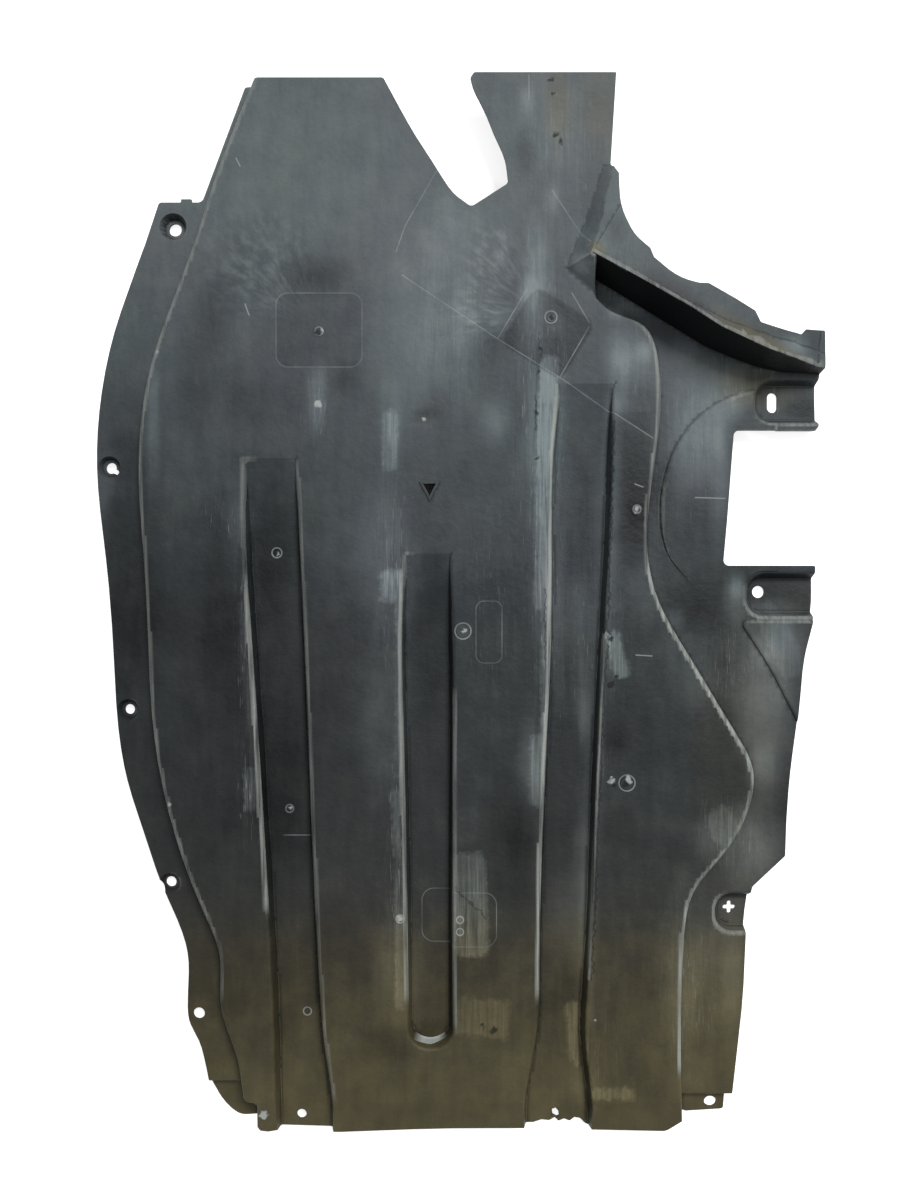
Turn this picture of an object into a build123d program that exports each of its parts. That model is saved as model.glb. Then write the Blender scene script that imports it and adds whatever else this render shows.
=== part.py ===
from build123d import *
import math
import os

# Underbody cover of a car: one injection-moulded polypropylene panel, worn and torn in places.
# The road side faces +Z, the front edge is at +Y, and the panel lies on its fastener seats at Z = 0.

# Driving sizes, in millimetres and degrees
front_edge = 558.5       # Y of the front edge of the tongues
rear_edge = -558.5       # Y of the rear edge
wall = 2.5               # thickness of the moulded skin
seat_depth = 11.5        # how far the right-hand fastener pockets sink below the flange
field_rise = 18          # how far the large field stands above the flange
draft = 12               # lean of the steps and of the channel sides
pocket_draft = 24        # lean of the sides of the fastener pockets
pocket_end_radius = 19   # round end of a fastener pocket
crest_radius = 4         # outer radius where a flat breaks into a step
floor_radius = 1.5       # inner radius at the foot of a channel or pocket side
channel_depth = 17       # depth of the three long channels
channel_run_in = 105     # length over which a channel reaches its full depth
ramp_share = 1.6         # length of the whole ramp, against the run-in that stays in view
rear_drop = 6            # how far the rear edge of the field bends down
rear_bend = 34           # length of the bent rear edge
window_front = 184.5     # front edge of the window in the right side
window_rear = 40.5       # rear edge of the window
window_rim = 8           # flange between the window and the pockets on each side of it
dish_rise = 3.5          # height of the raised dish beside the window
facet_rise = 2.5         # height of the stiffening facet behind the window
crest_width = 2.5        # thickness of the air deflector along its crest
collar_height = 1.2      # rim round the drain hole
collar_width = 2.5
gate_rise = 0.7          # height of the moulding gate marks

# Levels of the road side
seat_level = wall
flange_level = seat_level + seat_depth
field_level = flange_level + field_rise
margin = 1               # how far a cut runs past a face

# Places well clear of the panel, for the far ends of cuts and of areas that run out of it
below = -20
above = 100
past_front = front_edge + 45
past_rear = rear_edge - 60
past_right = 420
past_left = -450

# How the outlines and roundings are drawn
run_share = 0.45         # share of a run that a round corner may take
least_radius = 0.5
flat_radius = 2          # a rounding gets one flat for each 2 mm of its radius

# Outer edge in plan, clockwise from the front left tongue: x, y and, at a corner, its radius.
# The points without a radius are passed smoothly.
outer_edge = [
    (-217, front_edge - 5.5, 3), (-80, front_edge - 5.5, 4), (-45.5, 491), (-21, 453), (-3, 428.5),
    (12.5, 417, 6), (51.5, 442, 5), (48, 466), (37.5, 491), (27, 516.5), (14, 543),
    (11.5, front_edge - 6, 3), (15.5, front_edge, 3), (165, front_edge, 1), (159, 462, 3),
    (167, 450.5, 3), (167, 429), (169, 411), (174, 396), (182.5, 380), (196.5, 366, 2),
    (200, 356, 2), (218, 340.5), (234.5, 332), (246, 329, 2), (256, 329, 4), (278, 318),
    (306, 303, 4), (312, 291.5, 3), (335, 286), (358.5, 282, 3), (364, 288, 2), (387.2, 289, 2),
    (387.2, 262), (384.8, 240), (384.8, 190, 2), (381, window_front, 2),
    (293, window_front, 6), (282, window_rear, 6), (381, window_rear, 2), (379.5, -11), (369.5, -53),
    (363.5, -106.5), (353.5, -187), (350, -235), (348.8, -270, 4), (313.5, -303, 6), (311, -316),
    (304.5, -404), (292, rear_edge + 32.5, 1), (287, rear_edge + 32.5, 1),
    (285.5, rear_edge + 12.5, 3), (245, rear_edge + 10, 3), (236, rear_edge + 13, 3),
    (218.5, rear_edge + 1, 12), (135, rear_edge + 3, 5), (129, rear_edge + 9, 1),
    (123, rear_edge + 10, 1), (118, rear_edge + 6, 2), (112, rear_edge + 8.5, 2),
    (106, rear_edge + 6, 1), (102, rear_edge + 10, 1), (96, rear_edge + 6.5, 2),
    (88, rear_edge + 7.5, 2), (79, rear_edge + 4.5, 2), (70, rear_edge + 4.5, 3),
    (-20, rear_edge + 4), (-127, rear_edge, 4), (-193, rear_edge + 2, 2),
    (-202, rear_edge + 0.5, 3), (-210, rear_edge + 1.5, 2), (-214, rear_edge + 7, 3),
    (-236, rear_edge + 7), (-256, rear_edge + 24), (-267, rear_edge + 42.5, 2),
    (-268.5, rear_edge + 53), (-272, rear_edge + 69.5), (-278, rear_edge + 90.5),
    (-288.5, rear_edge + 112.5), (-290.3, rear_edge + 127), (-290.3, -374), (-296, -352),
    (-319, -298), (-335, -251), (-354.5, -190), (-367, -104), (-369, -65), (-378, 50),
    (-386.8, 133), (-386.8, 181), (-371, 282), (-354, 334.5), (-336.5, 382.5), (-321, 429, 4),
    (-297.5, 429, 1), (-297.5, 432.5, 1), (-286, 432.5, 1), (-286, 429, 1), (-275, 429, 9),
    (-229, front_edge - 6.5, 3),
]

# Edge of the raised field, from the front left down, round the rear and up the right side
field_edge = [
    (-195, past_front, 5), (-256, 450), (-284, 366), (-328, 237), (-337, 122), (-330, 20),
    (-321, -139), (-306, -219), (-267, -329), (-252, -370), (-250.5, -425), (-233, -481),
    (-226, rear_edge + 34.5, 6), (-212, rear_edge + 31.5, 6), (-212, past_rear, 5),
    (236, past_rear, 5), (233, -477), (236, -355), (246, -305), (276, -266), (305, -214),
    (309, -176), (289, -134), (244.5, -60), (209, 4), (198, 52), (199, 100), (210, 250),
    (193, 293), (156, 310), (143, 322, 8), (142, 353, 6), (165, 366, 5), (225, 345, 5),
    (225, past_front, 5),
]

# Edge of the flange level: it leaves out the two low lugs at the rear corners
left_lug = (-205, rear_edge + 47.5)
right_lug = (226, rear_edge + 33.5)
flange_edge = [
    (past_left, past_front, 5), (past_left, left_lug[1], 5), (*left_lug, 5),
    (left_lug[0], past_rear, 5), (right_lug[0], past_rear, 5), (*right_lug, 5),
    (past_right, right_lug[1], 5), (past_right, past_front, 5),
]

# Long channels: edges at the level of the field, down the left side and up the right one
left_channel = [
    (-225.5, 200, 1), (-226, 84), (-217, -70), (-206, -244), (-197, -400), (-192, past_rear, 1),
    (-131, past_rear, 1), (-134.5, -514), (-141, -470), (-147.5, -396), (-157, -185),
    (-162.5, -46), (-171, 122), (-176.5, 200, 1),
]
middle_channel = [
    (-52, 90, 1), (-60, 0), (-60, -100), (-55, -340), (-53.5, -468, 23), (-6, -468, 23),
    (-7, -340), (-7, -46), (-11, 90, 1),
]
right_channel = [
    (110, 262, 1), (98, 150), (97, 30), (90, -174), (83.5, -400), (82, -445), (69, -522),
    (69, past_rear, 1), (140, past_rear, 1), (140, -522), (133, -460), (136, -396), (144, -210),
    (151, -70), (160.5, 117), (162, 262, 1),
]
channels = [(left_channel, 153), (middle_channel, 54), (right_channel, 232)]

# The dish beside the window and the facet behind it, both running out past the edge
dish_edge = [
    (340, 236, 5), (282, 217), (236, 175), (215.5, 110), (224, 52), (250, 20, 5), (340, 0, 5),
]
dish_full = 90           # station where the dish starts to sink back to the flange
dish_flush = 20          # station where it reaches the flange
facet_edge = [
    (299, -18, 5), (330, -66), (362, -128, 5), (past_right, -128, 5), (past_right, -18, 5),
]

# Fastener pockets that open to the right: X of the round end, Y of the rear and front side
pockets = [
    (316, window_front + window_rim, 240),
    (307, -14.5, window_rear - window_rim),
    (273, -352, -309.5),
]

# Round recesses of the left flange: x, y, rim radius, depth, hole diameter
recesses = [
    (-306, 403, 14.5, 9, 13.5),
    (-374, 145.5, 12, 6, 11.5),
    (-354, -113.5, 11.5, 6, 10.5),
    (-309.5, -299, 11, 6, 11),
]

# Other holes of the left side and the rear: x, y, diameter
plain_holes = [(-278, rear_edge + 120.5, 12), (-168, rear_edge + 13.5, 10)]

# Holes of the right side
slot_place = (338.5, 217)
slot_width = 10.8
slot_length = 21.5
screw_place = (323.5, 12.5)
screw_hole = 13
cross_place = (292, -328)
cross_span = 13.5
cross_arm = 4.5
lug_place = (271.5, rear_edge + 20.5)
lug_hole_length = 13
lug_hole_width = 11

# Drain hole and damage
drain_corners = [(-38, 126), (-24.5, 126), (-31.2, 113.5)]
torn_hole = [
    (99, rear_edge + 18.5), (103, rear_edge + 20), (106, rear_edge + 16.5),
    (106.5, rear_edge + 11.5), (104, rear_edge + 10.5), (100, rear_edge + 13),
]
torn_notch = [(-376, 148.5), (-366.5, 143), (-365, 139), (-368, 138.5), (-376, 142)]
slit_y = -350.5
slit_length = 37
slit_height = 10

# Gate marks of the moulding on the field: x, y, radius
gates = [
    (-147.5, 286.5, 3.5), (96.5, 300, 4), (4, -29, 7), (185.5, 98, 5), (176, -188.5, 6.5),
]

# Air deflector: stations along its crest, from its tip to the right edge.
# x, y, crest level, level of the strip behind it, width of the ramp, level of the outer edge
deflector = [
    (137, 362, 54, 53, 1.5, 38.5),
    (188, 332, 58.5, 57.5, 1.5, 46),
    (235, 304, 62, 60.5, 2, 46),
    (268, 283.5, 60, 55, 7, 44),
    (294, 272, 58, 50, 11, 41),
    (320, 261.5, 55, 45, 14, 37),
    (347, 254.5, 48, 38, 16, 32),
    (377, 249.5, 31, 26, 15, 25),
    (405, 246, 24, 23, 14, 23),
]
deflector_reach = 95     # how far a section of the deflector runs past the outer edge

# Swelling of the tongue: its foot on the field, and its top where it is level with the tip of the
# deflector. The top is then cut off by a slope that falls towards the front.
swelling_foot = [
    (112, 352), (132.5, 403), (142, 431), (149, 460), (215, 460), (195, 400), (143, 366),
    (142.5, 326),
]
swelling_top = [
    (135, 360), (159, 405), (172, 431), (207, 452), (215, 452), (195, 400), (146, 364),
    (138.5, 358),
]
swelling_lean = 40       # lean of its sides
swelling_front = (455, field_level + 4)   # Y and level of the low end of the slope


def corner_turn(points, i):
    """The directions into and out of corner i of a closed outline, and the shorter run there."""
    here = Vector(*points[i][:2])
    run_in = here - Vector(*points[i - 1][:2])
    run_out = Vector(*points[(i + 1) % len(points)][:2]) - here
    return run_in.normalized(), run_out.normalized(), min(run_in.length, run_out.length)


def trace(points):
    """Draw a closed outline: an arc at each point that has a radius, and between two of these
    a straight line, or a smooth curve through the points that have none."""
    corners = [i for i, point in enumerate(points) if len(point) > 2]
    rounded = {}
    for i in corners:
        way_in, way_out, run = corner_turn(points, i)
        half_turn = math.radians(way_in.get_angle(way_out)) / 2
        reach = min(points[i][2] * math.tan(half_turn), run_share * run)
        here = Vector(*points[i][:2])
        rounded[i] = (here - way_in * reach, here + way_out * reach, way_in, way_out)
    for i, j in zip(corners, corners[1:] + corners[:1]):
        leave = rounded[i][1]
        arrive = rounded[j][0]
        last = j if j > i else j + len(points)
        between = [Vector(*points[k % len(points)][:2]) for k in range(i + 1, last)]
        if between:
            Spline(leave, *between, arrive, tangents=[rounded[i][3], rounded[j][2]])
        else:
            Line(leave, arrive)
        TangentArc(arrive, rounded[j][1], tangent=rounded[j][2])


def moved(points, distance):
    """A closed outline moved outwards by a distance, with its corner radii changed to match."""
    count = len(points)
    area = sum(points[i - 1][0] * points[i][1] - points[i][0] * points[i - 1][1] for i in range(count))
    way = 1 if area > 0 else -1
    result = []
    for i, point in enumerate(points):
        way_in, way_out, _ = corner_turn(points, i)
        out_in = Vector(way_in.Y, -way_in.X) * way
        out_out = Vector(way_out.Y, -way_out.X) * way
        corner = Vector(*point[:2]) + (out_in + out_out) * (distance / (1 + out_in.dot(out_out)))
        bulge = way * (way_in.X * way_out.Y - way_in.Y * way_out.X)
        growth = distance if bulge > 0 else -distance
        result.append((corner.X, corner.Y, *[max(r + growth, least_radius) for r in point[2:]]))
    return result


def stacked(points, sections):
    """A block lofted through one outline at several levels, each given as level and offset."""
    with BuildPart() as block:
        for height, out in sections:
            with BuildSketch(Plane.XY.offset(height)):
                with BuildLine():
                    trace(moved(points, out))
                make_face()
        loft(ruled=True)
    return block.part


def rounding(level, radius, lean):
    """Levels and offsets of the arc from a flat at a level down into a side that leans outwards.

    The offsets count from the sharp corner, which the arc replaces.
    """
    sweep = math.radians(90 - lean)
    tangent = radius * math.tan(sweep / 2)
    flats = math.ceil(radius / flat_radius)
    angles = [sweep * k / flats for k in range(flats + 1)]
    return [(level - radius * (1 - math.cos(a)), radius * math.sin(a) - tangent) for a in angles]


def side_shift(skin, lean):
    """How far a leaning side's corner moves sideways when the skin is taken off the flat and side."""
    return skin / math.cos(math.radians(lean)) - skin * math.tan(math.radians(lean))


def boss(points, level, skin, lean=draft):
    """A raised area: the space under its road face or, with a skin, under its inner face."""
    top = level - skin
    shift = -side_shift(skin, lean)
    crest = rounding(top, max(crest_radius - skin, least_radius), lean)
    foot = (below, math.tan(math.radians(lean)) * (top - below))
    return stacked(points, [(height, out + shift) for height, out in [foot] + crest[::-1]])


def sink(points, level, depth, skin, lean=draft, headroom=margin):
    """A pressed-in area: the space that it takes out of a raised one, down to its floor."""
    top = level - skin
    floor = top - depth
    shift = side_shift(skin, lean)
    inward = shift - math.tan(math.radians(lean)) * depth
    root = rounding(floor, floor_radius + skin, lean)
    rim = rounding(top, max(crest_radius - skin, least_radius), lean)[::-1]
    sections = [(2 * floor - height, out + inward) for height, out in root]
    sections += [(height, shift - out) for height, out in rim]
    sections += [(level + headroom, sections[-1][1])]
    return stacked(points, sections)


def pocket_edge(end_x, rear_y, front_y):
    """Edge of a fastener pocket, from its round end out past the right side of the panel."""
    return [
        (end_x, rear_y, pocket_end_radius), (past_right, rear_y, 1), (past_right, front_y, 1),
        (end_x, front_y, pocket_end_radius),
    ]


def slab(profile):
    """A block with the given side view, in Y and Z, right across the panel."""
    with BuildPart() as block:
        with BuildSketch(Plane.YZ):
            with BuildLine():
                Polyline(*profile, close=True)
            make_face()
        extrude(amount=past_right - past_left, both=True)
    return block.part


def field(skin):
    """The large raised field, whose rear edge bends down."""
    top = field_level - skin
    bend_y = rear_edge + rear_bend
    end_drop = rear_drop * (bend_y - past_rear) / rear_bend
    bent_off = [(bend_y, top), (past_rear, top - end_drop), (past_rear, above), (bend_y, above)]
    with BuildPart() as block:
        add(boss(field_edge, field_level, skin))
        add(slab(bent_off), mode=Mode.SUBTRACT)
    return block.part


def channel(points, start, skin):
    """A long channel whose floor curves down from the field over the run-in length."""
    radius = (channel_run_in**2 + channel_depth**2) / (2 * channel_depth)
    foot = (start - channel_run_in, field_level - channel_depth - skin)
    run = channel_run_in * ramp_share
    head = (foot[0] + run, foot[1] + radius - math.sqrt(radius**2 - run**2))
    with BuildPart() as block:
        add(sink(points, field_level, channel_depth, skin))
        with BuildSketch(Plane.YZ):
            with BuildLine():
                TangentArc(foot, head, tangent=(1, 0))
                Polyline(head, (head[0], below), (foot[0], below), foot)
            make_face()
        extrude(amount=past_right - past_left, both=True, mode=Mode.SUBTRACT)
    return block.part


def dish(skin):
    """The shallow raised dish, which sinks back to the flange level towards its rear."""
    top = flange_level + dish_rise - skin
    end_y = 2 * dish_flush - dish_full
    sunk_off = [(dish_full, top), (end_y, top - 2 * dish_rise), (end_y, above), (dish_full, above)]
    with BuildPart() as block:
        add(boss(dish_edge, flange_level + dish_rise, skin))
        add(slab(sunk_off), mode=Mode.SUBTRACT)
    return block.part


def deflector_section(station, skin):
    """Outline of the deflector and the strip behind it, in a plane across the crest."""
    _, _, crest, foot, ramp, edge = station
    lean = math.tan(math.radians(draft))
    side = skin / math.cos(math.radians(draft))
    ramp_foot = crest_width + ramp
    ridge = [(0, crest), (crest_width, crest)]
    if skin:
        ramp_lean = ramp / (crest - foot)
        drop = (side + skin * math.hypot(1, ramp_lean) - crest_width) / (lean + ramp_lean)
        ridge = [(side - lean * drop, crest - drop)]
        ramp_foot -= skin * math.tan((math.pi / 2 - math.atan(ramp_lean)) / 2)
    foot_out = side - lean * (crest - below)
    back = [(ramp_foot, foot - skin), (deflector_reach, edge - skin), (deflector_reach, below)]
    return [(foot_out, below)] + ridge + back


def deflector_body(skin):
    """The air deflector with its strip, lofted through its stations."""
    last = len(deflector) - 1
    with BuildPart() as block:
        for i, station in enumerate(deflector):
            before = Vector(*deflector[max(i - 1, 0)][:2])
            after = Vector(*deflector[min(i + 1, last)][:2])
            along = (after - before).normalized()
            across = Plane(origin=(*station[:2], 0), x_dir=(-along.Y, along.X, 0), z_dir=along)
            with BuildSketch(across):
                with BuildLine():
                    Polyline(*deflector_section(station, skin), close=True)
                make_face()
        loft(ruled=True)
    return block.part


def swelling(skin):
    """The right side of the tongue, which climbs to the tip of the deflector."""
    tip_y, tip_level = deflector[0][1], deflector[0][3] - skin
    low_y, low_level = swelling_front[0], swelling_front[1] - skin
    shift = -side_shift(skin, swelling_lean)
    with BuildPart() as block:
        for height, outline in [(field_level - margin - skin, swelling_foot), (tip_level, swelling_top)]:
            with BuildSketch(Plane.XY.offset(height)):
                with BuildLine():
                    Polyline(*moved(outline, shift), close=True)
                make_face()
        loft(ruled=True)
        add(
            slab([(tip_y, tip_level), (low_y, low_level), (past_front, low_level), (past_front, above),
                  (tip_y, above)]),
            mode=Mode.SUBTRACT,
        )
    return block.part


def recess(x, y, radius, depth, skin):
    """A round recess, turned about its own axis, as the space that it takes out."""
    lean = math.tan(math.radians(pocket_draft))
    side = side_shift(skin, pocket_draft)
    floor = flange_level - skin - depth
    top = flange_level + margin
    with BuildPart() as block:
        with Locations((x, y, floor)):
            Cone(
                radius - lean * depth + side,
                radius + lean * (margin + skin) + side,
                top - floor,
                align=(Align.CENTER, Align.CENTER, Align.MIN),
            )
    return block.part


def space_under(skin):
    """Everything under the road face of the panel or, with its wall as skin, under the inner face."""
    with BuildPart() as space:
        with BuildSketch(Plane.XY.offset(below)):
            with BuildLine():
                Polyline(
                    (past_left, past_rear), (past_right, past_rear),
                    (past_right, past_front), (past_left, past_front), close=True,
                )
            make_face()
        extrude(amount=seat_level - skin - below)
        add(boss(flange_edge, flange_level, skin))
        add(boss(facet_edge, flange_level + facet_rise, skin))
        add(dish(skin))
        add(field(skin))
        add(deflector_body(skin))
        add(swelling(skin))
        for points, start in channels:
            add(channel(points, start, skin), mode=Mode.SUBTRACT)
        for place in pockets:
            edge = pocket_edge(*place)
            pocket = sink(edge, flange_level, seat_depth, skin, pocket_draft, dish_rise + margin)
            add(pocket, mode=Mode.SUBTRACT)
        for x, y, radius, depth, _ in recesses:
            add(recess(x, y, radius, depth, skin), mode=Mode.SUBTRACT)
    return space.part


def holes():
    """Every opening through the panel, as one set of upright cutters."""
    with BuildPart() as block:
        with BuildSketch(Plane.XY.offset(below)):
            for x, y, _, _, diameter in recesses:
                with Locations((x, y)):
                    Circle(diameter / 2)
            for x, y, diameter in plain_holes:
                with Locations((x, y)):
                    Circle(diameter / 2)
            with Locations(slot_place):
                SlotOverall(slot_length, slot_width, rotation=90)
            with Locations(screw_place):
                Circle(screw_hole / 2)
            with Locations(cross_place):
                SlotOverall(cross_span, cross_arm)
                SlotOverall(cross_span, cross_arm, rotation=90)
            with Locations(lug_place):
                Ellipse(lug_hole_length / 2, lug_hole_width / 2)
            for corners in (drain_corners, torn_hole, torn_notch):
                with BuildLine():
                    Polyline(*corners, close=True)
                make_face()
        extrude(amount=above - below)
    return block.part


def raised_marks():
    """The rim round the drain hole and the gate marks, standing on the field."""
    with BuildPart() as block:
        with BuildSketch(Plane.XY.offset(field_level - wall / 2)):
            with BuildLine():
                Polyline(*[p[:2] for p in moved(drain_corners, collar_width)], close=True)
            make_face()
        extrude(amount=wall / 2 + collar_height)
        for x, y, radius in gates:
            with Locations((x, y, field_level - wall / 2)):
                Cylinder(radius, wall / 2 + gate_rise, align=(Align.CENTER, Align.CENTER, Align.MIN))
    return block.part


def slit():
    """The tear in the side of the field, as a lens-shaped cutter that runs across the side."""
    side_x = max(x for x, y, *_ in field_edge if abs(y - slit_y) < slit_length)
    with BuildPart() as block:
        with BuildSketch(Plane.YZ.offset(side_x - 3 * wall)):
            with Locations((slit_y, (flange_level + field_level) / 2)):
                Ellipse(slit_length / 2, slit_height / 2)
        extrude(amount=6 * wall + field_rise)
    return block.part


marks = raised_marks()
openings = holes()
tear = slit()
with BuildPart() as cover:
    add(space_under(0))
    add(space_under(wall), mode=Mode.SUBTRACT)
    with BuildSketch(Plane.XY.offset(below)):
        with BuildLine():
            trace(outer_edge)
        make_face()
    extrude(amount=above - below, mode=Mode.INTERSECT)
    add(marks)
    add(openings, mode=Mode.SUBTRACT)
    add(tear, mode=Mode.SUBTRACT)
cover.part.label = "underbody_cover"
os.makedirs("parts", exist_ok=True)
export_step(cover.part, "parts/underbody_cover.step")
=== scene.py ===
# %% [markdown]
# # A worn underbody cover
# The cover is one thin panel of black polypropylene, moulded in a steel tool. Its shape comes
# finished from the frame. What is left to make is its surface: road dust, an olive brown tone at the
# rear, scratches, edges rubbed pale, the fine lines that the inserts of the tool left in the plastic,
# and painted light: shade on faces turned from the lamp and in corners, and a few painted shadows and
# highlights.

# %% Load the frame
import itertools
import math

import bmesh
import bpy
import numpy as np
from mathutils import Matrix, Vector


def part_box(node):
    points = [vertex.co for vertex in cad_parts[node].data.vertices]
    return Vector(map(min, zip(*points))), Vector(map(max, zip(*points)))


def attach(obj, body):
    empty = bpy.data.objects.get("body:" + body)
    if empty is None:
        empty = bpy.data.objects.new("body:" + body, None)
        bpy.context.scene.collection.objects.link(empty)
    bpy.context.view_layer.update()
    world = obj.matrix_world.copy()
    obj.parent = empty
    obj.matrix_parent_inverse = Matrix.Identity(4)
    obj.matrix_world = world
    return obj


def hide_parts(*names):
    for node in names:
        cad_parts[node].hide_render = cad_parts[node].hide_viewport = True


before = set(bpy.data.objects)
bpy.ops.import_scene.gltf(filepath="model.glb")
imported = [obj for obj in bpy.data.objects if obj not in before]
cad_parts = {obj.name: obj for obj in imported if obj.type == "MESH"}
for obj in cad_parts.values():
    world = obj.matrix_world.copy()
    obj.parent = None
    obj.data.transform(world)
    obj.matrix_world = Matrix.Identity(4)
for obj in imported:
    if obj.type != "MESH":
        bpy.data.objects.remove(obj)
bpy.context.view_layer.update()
cover_node = "underbody_cover"
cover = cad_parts[cover_node]

# %% [markdown]
# The picture was taken from straight above, with the front of the car at the top. The lens is found
# from the steps of the panel: a step that is nearer to the lens looks larger. A point of the picture
# can then be turned into a point of the panel, as long as its height is known.

# %% Camera, and where a point of the picture lies on the panel
MM = 0.001
picture_wide, picture_high = 900, 1200
focal_pixels = 950
sensor = 36.0
camera_place = (-9.75 * MM, 3.8 * MM, 1030 * MM)
field_level = 32 * MM     # height of the field, on which most marks lie

camera_data = bpy.data.cameras.new("camera")
camera_data.sensor_width = sensor
camera_data.lens = sensor * focal_pixels / picture_high
camera = bpy.data.objects.new("camera", camera_data)
camera.location = camera_place
bpy.context.scene.collection.objects.link(camera)
bpy.context.scene.camera = camera


def spot(across, down, level=field_level):
    """The point of the panel, in metres, that shows at a pixel of the picture."""
    scale = (camera_place[2] - level) / focal_pixels
    x = camera_place[0] + (across - picture_wide / 2) * scale
    y = camera_place[1] + (picture_high / 2 - down) * scale
    return x, y


def seen(points):
    """The pixel at which each point of an array of points shows, as two arrays."""
    scale = focal_pixels / (camera_place[2] - points[:, 2])
    across = picture_wide / 2 + (points[:, 0] - camera_place[0]) * scale
    down = picture_high / 2 - (points[:, 1] - camera_place[1]) * scale
    return across, down


print("camera lens, in mm:", round(camera_data.lens, 2))


# %% [markdown]
# Colours are written as the hex values that a screen shows. Blender works in linear light, so one
# function turns them. Another small function adds a node with its settings and its links, which keeps
# the materials short enough to read.

# %% Colour and node helpers
def linear(hex_colour):
    """A linear RGBA colour from an sRGB hex value such as "8a8f90"."""
    shares = [int(hex_colour[i:i + 2], 16) / 255 for i in (0, 2, 4)]
    return [s / 12.92 if s <= 0.04045 else ((s + 0.055) / 1.055) ** 2.4 for s in shares] + [1.0]


def add_node(tree, kind, inputs=None, stops=None, **settings):
    """Add a node, set its options and the stops of its ramp, and set or link its inputs.

    The kind is the node's class without "ShaderNode". An input, by name or number, takes a value, a
    hex colour, a socket, or a node, of which it takes the output in use.
    """
    node = tree.nodes.new("ShaderNode" + kind)
    for name, value in settings.items():
        setattr(node, name, value)
    for name, value in (inputs or {}).items():
        if isinstance(value, bpy.types.Node):
            value = next(output for output in value.outputs if output.enabled)
        if isinstance(value, bpy.types.NodeSocket):
            tree.links.new(value, node.inputs[name])
        else:
            node.inputs[name].default_value = linear(value) if isinstance(value, str) else value
    for number, (at, colour) in enumerate(stops or []):
        elements = node.color_ramp.elements
        element = elements[number] if number < 2 else elements.new(at)
        element.position = at
        element.color = linear(colour)
    return node


def new_material(name):
    """An empty node material and its node tree."""
    material = bpy.data.materials.new(name)
    material.use_nodes = True
    material.node_tree.nodes.clear()
    return material, material.node_tree


# %% [markdown]
# The panel lies on a white floor. The floor shows its own white to the camera, and keeps the shadow
# under the panel. Under the middle of the panel no light arrives, so the floor shows no white there.
# A wide soft lamp stands at the front right, as the bright sides of the channels tell, and an even
# sky fills the rest.

# %% Floor, sky and lamp
floor_size = 8.0
floor_white = 0.75        # share of the floor's white that needs no lamp
dark_reach = 0.62         # half length of the unlit place under the panel
lamp_height = math.radians(50)
lamp_turn = math.radians(28)
lamp_level = 0.62         # what the lamp adds on a flat face
lamp_spread = math.radians(22)
sky_level = 0.42


def white_floor():
    """A white floor whose own white fades out under the middle of the panel."""
    material, tree = new_material("white_studio_floor")
    path = add_node(tree, "LightPath")
    place = add_node(tree, "TexCoord")
    shrink = add_node(
        tree, "Mapping",
        {"Vector": place.outputs["Object"], "Scale": (1 / (0.6 * dark_reach), 1 / dark_reach, 1)},
    )
    middle = add_node(tree, "TexGradient", {"Vector": shrink}, gradient_type="SPHERICAL")
    open_floor = add_node(
        tree, "MapRange",
        {"Value": middle.outputs["Fac"], "From Min": 0.25, "From Max": 0.4, "To Min": floor_white,
         "To Max": 0.0},
    )
    seen_straight = add_node(
        tree, "Math", {0: path.outputs["Is Camera Ray"], 1: path.outputs["Is Glossy Ray"]},
        operation="MAXIMUM",
    )
    seen_any = add_node(
        tree, "Math", {0: seen_straight, 1: path.outputs["Is Transmission Ray"]},
        operation="MAXIMUM",
    )
    glow_level = add_node(tree, "Math", {0: open_floor, 1: seen_any}, operation="MULTIPLY")
    paint = add_node(tree, "BsdfDiffuse", {"Color": (0.8, 0.8, 0.8, 1)})
    glow = add_node(tree, "Emission", {"Color": (1, 1, 1, 1), "Strength": glow_level})
    both = add_node(tree, "AddShader", {0: paint, 1: glow})
    add_node(tree, "OutputMaterial", {"Surface": both})
    return material


def add_floor():
    """A square sheet at the level on which the panel lies."""
    half = floor_size / 2
    mesh = bpy.data.meshes.new("floor")
    mesh.from_pydata([(-half, -half, 0), (half, -half, 0), (half, half, 0), (-half, half, 0)], [],
                     [(0, 1, 2, 3)])
    mesh.materials.append(white_floor())
    floor = bpy.data.objects.new("floor", mesh)
    bpy.context.scene.collection.objects.link(floor)


def add_sky():
    """An even white sky, full white to the camera."""
    world = bpy.data.worlds.new("even_sky")
    bpy.context.scene.world = world
    world.use_nodes = True
    tree = world.node_tree
    tree.nodes.clear()
    path = add_node(tree, "LightPath")
    level = add_node(
        tree, "MapRange",
        {"Value": path.outputs["Is Camera Ray"], "To Min": sky_level, "To Max": 1.0},
    )
    sky = add_node(tree, "Background", {"Color": (1, 1, 1, 1), "Strength": level})
    add_node(tree, "OutputWorld", {"Surface": sky})


def add_lamp():
    """A wide soft lamp, far away at the front right."""
    lamp = bpy.data.lights.new("soft_lamp", "SUN")
    lamp.energy = lamp_level * math.pi / math.sin(lamp_height)
    lamp.angle = lamp_spread
    holder = bpy.data.objects.new("soft_lamp", lamp)
    holder.rotation_euler = (lamp_height - math.pi / 2, 0, -lamp_turn)
    bpy.context.scene.collection.objects.link(holder)


add_floor()
add_sky()
add_lamp()
bpy.context.scene.view_settings.view_transform = "Standard"
print("lamp", math.degrees(lamp_height), "degrees above the floor")
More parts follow.
